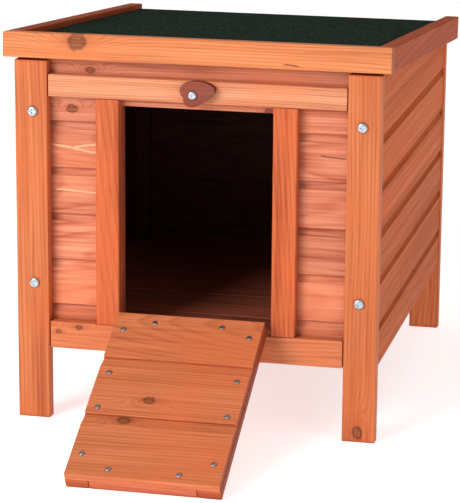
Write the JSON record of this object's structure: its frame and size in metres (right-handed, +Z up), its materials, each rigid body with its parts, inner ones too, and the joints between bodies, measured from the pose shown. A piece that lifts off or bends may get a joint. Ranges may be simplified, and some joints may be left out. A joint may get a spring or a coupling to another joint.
{
  "type": "rabbit hutch",
  "caption": "Raised stained-pine hutch for a small animal, with a sloping felt roof that lifts, a drop-down ramp that closes the doorway and a wooden turn button.",
  "frame": {"origin": "centre of the base of the whole object's box with the ramp down, at ground level", "axes": "+X to the hutch's right seen from the front, +Y from the ramp's toe to the back, +Z up"},
  "size_m": [0.42, 0.7238, 0.4299],
  "materials": {
    "leg_wood": "satin orange-brown stain on pine",
    "siding_wood": "satin reddish stain on pine",
    "trim_wood": "satin light orange stain on pine",
    "inner_wood": "matt, thinly stained pine",
    "roof_edge_wood": "satin stain on pine",
    "ramp_wood": "satin reddish stain on pine",
    "button_wood": "satin dark red-brown stain",
    "roof_felt": "matt mineral-surfaced bitumen felt, dark green",
    "zinc_steel": "bright zinc plate"
  },
  "bodies": {
    "hutch": {"back_boards": "siding_wood", "back_top_rail": "trim_wood", "corner_batten_front_left": "inner_wood", "corner_batten_front_right": "inner_wood", "corner_batten_rear_left": "inner_wood", "corner_batten_rear_right": "inner_wood", "door_batten_left": "trim_wood", "door_batten_right": "trim_wood", "floor_bearer_left": "inner_wood", "floor_bearer_right": "inner_wood", "floor_boards": "inner_wood", "front_boards_left": "siding_wood", "front_boards_right": "siding_wood", "front_bottom_board": "siding_wood", "front_bottom_rail": "trim_wood", "front_top_board": "siding_wood", "front_top_rail": "trim_wood", "leg_front_left": "leg_wood", "leg_front_right": "leg_wood", "leg_rear_left": "leg_wood", "leg_rear_right": "leg_wood", "leg_screws": "zinc_steel", "ramp_hinge_fixed_leaves": "zinc_steel", "ramp_hinge_fixed_screws": "zinc_steel", "ramp_hinge_pins": "zinc_steel", "roof_hinge_fixed_leaves": "zinc_steel", "roof_hinge_fixed_screws": "zinc_steel", "roof_hinge_pins": "zinc_steel", "side_board_left_1": "siding_wood", "side_board_left_2": "siding_wood", "side_board_left_3": "siding_wood", "side_board_left_4": "siding_wood", "side_board_left_5": "siding_wood", "side_board_left_6": "siding_wood", "side_board_right_1": "siding_wood", "side_board_right_2": "siding_wood", "side_board_right_3": "siding_wood", "side_board_right_4": "siding_wood", "side_board_right_5": "siding_wood", "side_board_right_6": "siding_wood", "turn_button_screw": "zinc_steel"},
    "ramp": {"ramp_crossbar_toe": "ramp_wood", "ramp_crossbar_top": "ramp_wood", "ramp_hinge_moving_leaves": "zinc_steel", "ramp_hinge_moving_screws": "zinc_steel", "ramp_plank_1": "ramp_wood", "ramp_plank_2": "ramp_wood", "ramp_plank_3": "ramp_wood", "ramp_screws": "zinc_steel", "ramp_stile_left": "ramp_wood", "ramp_stile_right": "ramp_wood"},
    "roof": {"roof_deck": "inner_wood", "roof_fascia": "roof_edge_wood", "roof_felt": "roof_felt", "roof_hinge_moving_leaves": "zinc_steel", "roof_hinge_moving_screws": "zinc_steel", "roof_rail_left": "roof_edge_wood", "roof_rail_right": "roof_edge_wood", "roof_rear_batten": "inner_wood"},
    "button": {"turn_button": "button_wood"}
  },
  "joints": [
    {"name": "ramp_hinge", "type": "hinge", "parent": "hutch", "child": "ramp", "pos_m": [0, -0.14303, 0.112], "axis": [-1, 0, 0], "range_deg": [0, 118.8]},
    {"name": "roof_hinge", "type": "hinge", "parent": "hutch", "child": "roof", "pos_m": [0, 0.34497, 0.36215], "axis": [-1, 0, 0], "range_deg": [0, 80]},
    {"name": "button_turn", "type": "hinge", "parent": "hutch", "child": "button", "pos_m": [-0.001, -0.14213, 0.371], "axis": [0, -1, 0], "continuous": true}
  ]
}
